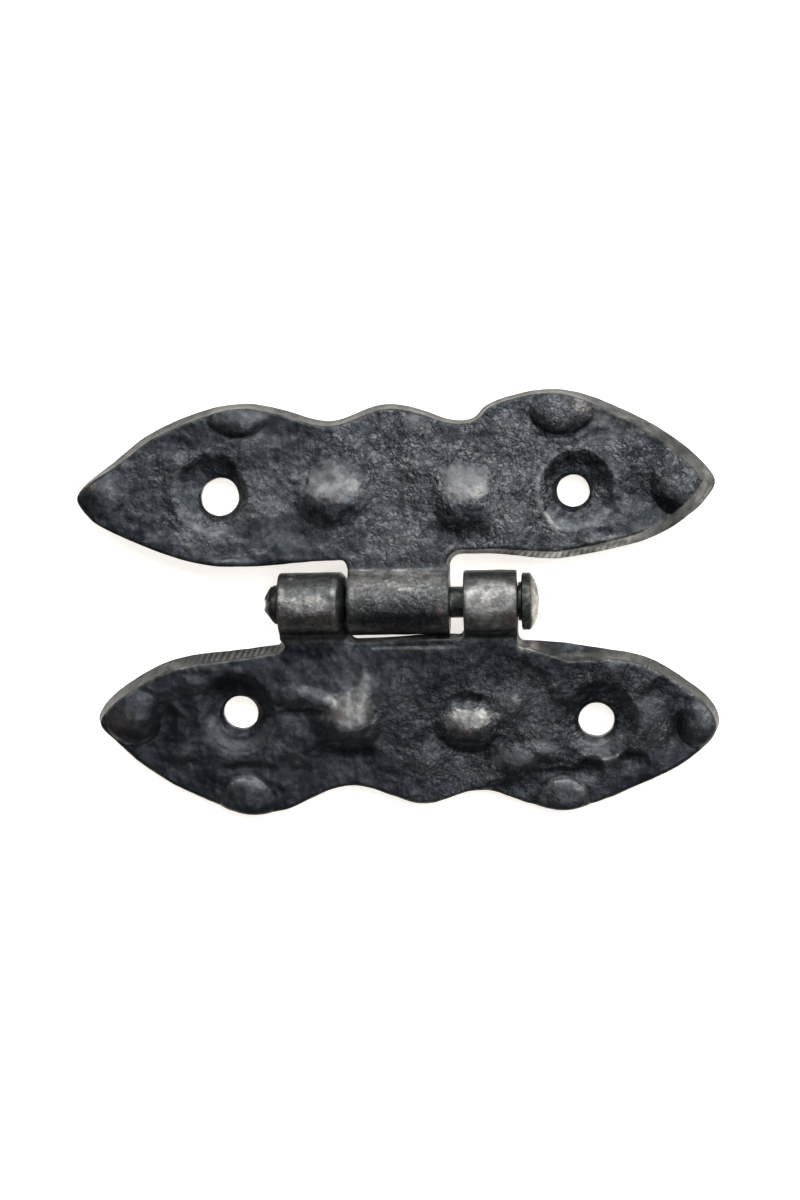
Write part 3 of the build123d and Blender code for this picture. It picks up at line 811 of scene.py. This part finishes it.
def make_pin():
    """The rivet: turned profile with a worn dome, and a tail hammered into flats."""
    line = []
    for start, end in zip(pin_profile, pin_profile[1:]):
        count = max(int(hypot(end[0] - start[0], end[1] - start[1]) / pin_step), 1)
        line += [np.array(start) + (np.array(end) - start) * i / count for i in range(count)]
    line = np.array(line[1:])
    turns = np.linspace(0, 2 * pi, pin_turns, endpoint=False)
    x, angle = (grid.ravel() for grid in np.meshgrid(line[:, 0], turns, indexing="ij"))
    radius = np.repeat(line[:, 1], pin_turns)
    y, z = radius * np.cos(angle), radius * np.sin(angle)
    ends = ease(np.abs(x - (shank_start + shank_end) / 2), 14.9, 15.3)
    rough = dome_dents * waves(2 * y + 7 * x, 2 * z, 1.9, 5) + dome_grain * waves(y + 3 * x, z, 0.6, 6)
    radius = radius - ends * np.abs(rough) * ease(radius, 0.3, 1.5)
    tail = ease(x, -14.8, -15.4)
    radius = radius * (1 + tail * tail_dents * waves(2 * np.cos(angle), 2 * np.sin(angle), 1.1, 7))
    y, z = radius * np.cos(angle), radius * np.sin(angle)
    x = np.where(x < tail_cut_x[0], np.maximum(x, np.interp(y, tail_cut_y, tail_cut_x)), x)
    points = np.vstack([rows(x, y, z), [(x[:pin_turns].mean(), 0, 0), (pin_profile[-1][0], 0, 0)]])
    grid = np.arange(len(line) * pin_turns).reshape(len(line), pin_turns)
    here, there = grid[:-1], grid[1:]
    faces = rows(here, np.roll(here, -1, 1), np.roll(there, -1, 1), there).reshape(-1, 4).tolist()
    first, last = len(points) - 2, len(points) - 1
    faces += [(first, b, a) for a, b in zip(grid[0], np.roll(grid[0], -1))]
    faces += [(last, a, b) for a, b in zip(grid[-1], np.roll(grid[-1], -1))]

    # Bright dome, worn and with a painted highlight, bright stake mark, brown rub round the dome, and a
    # darker shank except in the gap by the right knuckle
    px, py, pz = points.T
    stake = 0.9 * ease(px, -16.0, -16.1) * ease(np.abs(py - stake_y), stake_half, 0.4)
    on_shank = ease(px, -15.9, -15.4) * ease(px, 15.9, 15.6)
    in_gap = ease(px, 6.5, 7.0) * ease(px, 9.0, 8.5)
    layers = {
        "rim": np.zeros_like(px),
        "pale": ease(px, 16.7, 17.1) + stake,
        "bare_and_highlight": ease(px, 16.8, 17.3) + stake,
        "brown": 0.4 * ease(px, 16.4, 16.7) * ease(waves(py, pz, 1.2, 9), 0.1, 0.5),
        "dark": 0.7 * on_shank * (1 - in_gap),
        "grit": np.full_like(px, 0.3),
    }
    return write_mesh("rivet_pin_iron", points + (0, 0, knuckle_radius), faces, layers)


# Materials
def add(tree, kind, **values):
    """A node with its plain settings and its input values; an input may be another node's output."""
    node = tree.nodes.new("ShaderNode" + kind)
    for key, value in values.items():
        if hasattr(node, key):
            setattr(node, key, value)
            continue
        slot = int(key[1:]) if key[0] == "i" and key[1:].isdigit() else key.replace("_", " ")
        if isinstance(value, bpy.types.NodeSocket):
            tree.links.new(value, node.inputs[slot])
        else:
            node.inputs[slot].default_value = value
    return node


def mix(tree, share, first, second):
    """A colour between two, by a share."""
    node = add(tree, "Mix", data_type="RGBA", i0=share)
    for slot, value in ((6, first), (7, second)):
        if isinstance(value, bpy.types.NodeSocket):
            tree.links.new(value, node.inputs[slot])
        else:
            node.inputs[slot].default_value = (*value, 1.0)
    return node.outputs[2]


def span(tree, value, low, high, to_low=0.0, to_high=1.0):
    """A value carried from one range to another, held at its ends."""
    return add(tree, "MapRange", i0=value, i1=low, i2=high, i3=to_low, i4=to_high).outputs[0]


def times(tree, first, second):
    """Two values multiplied."""
    return add(tree, "Math", operation="MULTIPLY", i0=first, i1=second).outputs[0]


def iron(name, dark, middle, pale, bare_and_highlight, rim_colour, brown, soot_and_shade, roughness):
    """Blackened iron: grainy, darker in the pits, paler where it is worn, with painted light and shade
    in patches, and brown in patches.
    """
    material = bpy.data.materials.new(name)
    material.use_nodes = True
    tree = material.node_tree
    shader = tree.nodes["Principled BSDF"]
    where = add(tree, "TexCoord").outputs["Object"]

    def noise(scale, detail, rough=0.55):
        node = add(tree, "TexNoise", Vector=where, Scale=scale, Detail=detail, Roughness=rough)
        return node.outputs["Fac"]

    def layer(attribute):
        return add(tree, "Attribute", attribute_name=attribute).outputs["Fac"]

    def bump(strength, height, value, under=None):
        node = add(tree, "Bump", Strength=strength, Distance=height, Height=value)
        if under is not None:
            tree.links.new(under, node.inputs["Normal"])
        return node.outputs[0]

    mottle = noise(mottle_scale, 3.0)
    cloud = noise(cloud_scale, 4.0, 0.65)
    grain = noise(grain_scale, 2.0)
    speck = noise(speck_scale, 1.0)

    # Pebbles with cracks between them, on wobbling lines
    wobble = add(tree, "TexNoise", Vector=where, Scale=wobble_scale, Detail=1.0).outputs["Color"]
    reach = (wobble_reach,) * 3
    bend = add(tree, "VectorMath", operation="MULTIPLY_ADD", i0=wobble, i1=reach, i2=where)
    bent = bend.outputs[0]
    pebbles = add(tree, "TexVoronoi", Vector=bent, Scale=pebble_scale).outputs["Color"]
    pebble = add(tree, "SeparateColor", Color=pebbles).outputs[0]
    cracks = add(tree, "TexVoronoi", feature="DISTANCE_TO_EDGE", Vector=bent, Scale=pebble_scale)
    crack = cracks.outputs["Distance"]
    grit = span(tree, layer("grit"), 0.0, 1.0, 0.08, 0.9)
    grit = times(tree, grit, span(tree, cloud, 0.35, 0.6, 0.45, 1.0))

    # Coats of colour, each over the last: where it lies, the noise that breaks it up, two values of
    # that noise, how much of the coat shows at each, and its colour
    everywhere = 1.0
    coats = [
        (everywhere, cloud, 0.38, 0.62, 0.0, 1.0, middle),
        (everywhere, mottle, 0.5, 0.72, 0.0, 0.4, pale),
        (layer("rim"), mottle, 0.25, 0.6, 0.5, 1.0, rim_colour),
        # Pale coat: worn iron, and painted light
        (layer("pale"), mottle, 0.35, 0.6, 0.4, 0.95, pale),
        # Bare coat: rubbed bright iron, and painted highlights
        (layer("bare_and_highlight"), mottle, 0.35, 0.6, 0.3, 1.0, bare_and_highlight),
        (layer("brown"), mottle, 0.4, 0.6, 0.2, 0.9, brown),
        (grit, pebble, 0.3, 0.9, 0.0, 1.0, pale),
        (grit, pebble, 0.35, 0.0, 0.0, 0.35, soot_and_shade),
        (grit, grain, 0.46, 0.34, 0.0, 0.5, soot_and_shade),
        (grit, crack, 0.17, 0.03, 0.0, 0.75, soot_and_shade),
        (grit, speck, 0.6, 0.75, 0.0, 0.35, bare_and_highlight),
        # Dark coat: soot, and painted shade
        (layer("dark"), mottle, 0.3, 0.65, 0.97, 0.6, soot_and_shade),
    ]
    colour = dark
    for place, broken, low, high, at_low, at_high, coat in coats:
        share = times(tree, place, span(tree, broken, low, high, at_low, at_high))
        colour = mix(tree, share, colour, coat)
    tree.links.new(colour, shader.inputs["Base Color"])

    # Dull sheen, and bumps that are weaker under the pale patches of wear and painted light
    shader.inputs["Metallic"].default_value = 0.8
    shader.inputs["Specular IOR Level"].default_value = 0.25
    dullness = span(tree, mottle, 0.3, 0.7, roughness + 0.08, roughness - 0.08)
    tree.links.new(dullness, shader.inputs["Roughness"])
    pits = bump(span(tree, layer("pale"), 0.5, 0.95, 0.8, 0.3), pit_height, mottle)
    stones = bump(grit, pebble_height, span(tree, crack, 0.0, 0.35), pits)
    tree.links.new(bump(grit, grain_height, grain, stones), shader.inputs["Normal"])
    return material


both_irons = {"rim_colour": (0.075, 0.076, 0.068), "brown": (0.17, 0.11, 0.082), "roughness": 0.42}
leaf_iron = iron(
    "leaf_iron", dark=(0.02, 0.024, 0.031), middle=(0.05, 0.055, 0.065), pale=(0.118, 0.127, 0.134),
    bare_and_highlight=(0.42, 0.41, 0.39), soot_and_shade=(0.007, 0.009, 0.012), **both_irons,
)
pin_iron = iron(
    "pin_iron", dark=(0.022, 0.026, 0.024), middle=(0.045, 0.05, 0.046), pale=(0.15, 0.16, 0.145),
    bare_and_highlight=(0.55, 0.55, 0.51), soot_and_shade=(0.009, 0.011, 0.011), **both_irons,
)

# Leaves
leaves = [
    Leaf("upper_leaf", "upper", 1, upper_outline, upper_straps, upper_features, upper_holes,
         upper_lean, upper_patches, seed=11),
    Leaf("lower_leaf", "lower", -1, lower_outline, lower_straps, lower_features, lower_holes,
         lower_lean, lower_patches, seed=77),
]
for leaf in leaves:
    thing = make_leaf(leaf)
    thing.data.materials.append(leaf_iron)
    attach(thing, leaf.body)
    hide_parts(leaf.name)

pin = make_pin()
pin.data.materials.append(pin_iron)
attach(pin, "lower")
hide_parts("rivet_pin")


# Table and light, in metres
table_size, table_gap, table_glow = 4.0, 0.00002, 0.76
room_light = 0.04


def stage_material():
    """White table that is plain white to the camera and in reflections, and keeps the shadow."""
    material = bpy.data.materials.new("table_white")
    material.use_nodes = True
    tree = material.node_tree
    shader = tree.nodes["Principled BSDF"]
    shader.inputs["Base Color"].default_value = (0.86, 0.84, 0.82, 1.0)
    shader.inputs["Roughness"].default_value = 0.9
    shader.inputs["Specular IOR Level"].default_value = 0.1
    shader.inputs["Emission Color"].default_value = (1.0, 0.95, 0.89, 1.0)
    light = add(tree, "LightPath")
    seen = light.outputs["Is Camera Ray"]
    for ray in ("Is Glossy Ray", "Is Transmission Ray"):
        seen = add(tree, "Math", operation="MAXIMUM", i0=seen, i1=light.outputs[ray]).outputs[0]
    tree.links.new(times(tree, seen, table_glow), shader.inputs["Emission Strength"])
    return material


def lamp(name, place, size, power, colour):
    """A soft lamp that points at the hinge: a rectangle of a width and height."""
    data = bpy.data.lights.new(name, "AREA")
    data.shape = "RECTANGLE"
    data.size, data.size_y = size
    data.energy, data.color = power, colour
    thing = bpy.data.objects.new(name, data)
    thing.location = place
    thing.rotation_euler = (-Vector(place)).to_track_quat("-Z", "Y").to_euler()
    bpy.context.scene.collection.objects.link(thing)


bpy.ops.mesh.primitive_plane_add(size=table_size, location=(0, 0, cad_box[0][2] - table_gap))
table = bpy.context.object
table.name = "table"
table.data.materials.append(stage_material())

# A broad window beyond the upper leaf, a small lamp above, and a dim room
lamp("key", place=(0.16, 0.55, 0.66), size=(1.7, 0.75), power=15.8, colour=(1.0, 0.99, 0.97))
lamp("overhead", place=(0.1, -0.15, 0.85), size=(0.5, 0.5), power=1.5, colour=(0.93, 0.96, 1.0))
world = bpy.data.worlds.new("room")
world.use_nodes = True
room = world.node_tree.nodes["Background"]
room.inputs["Color"].default_value = (1.0, 1.0, 1.0, 1.0)
room.inputs["Strength"].default_value = room_light
scene = bpy.context.scene
scene.world = world
scene.view_settings.view_transform = "Standard"

# Camera
camera_data = bpy.data.cameras.new("camera")
camera_data.sensor_width = sensor
camera_data.lens = sensor * distance / (pixel * picture[1])
camera_data.shift_x = (picture[0] / 2 - look_at_pixel[0]) / picture[1]
camera_data.shift_y = (look_at_pixel[1] - picture[1] / 2) / picture[1]
camera_data.clip_start = 0.01
camera = bpy.data.objects.new("camera", camera_data)
camera.matrix_world = Matrix([
    (camera_right[i], camera_up[i], view[i], camera_place[i] / 1000) for i in range(3)
] + [(0, 0, 0, 1)])
scene.collection.objects.link(camera)
scene.camera = camera
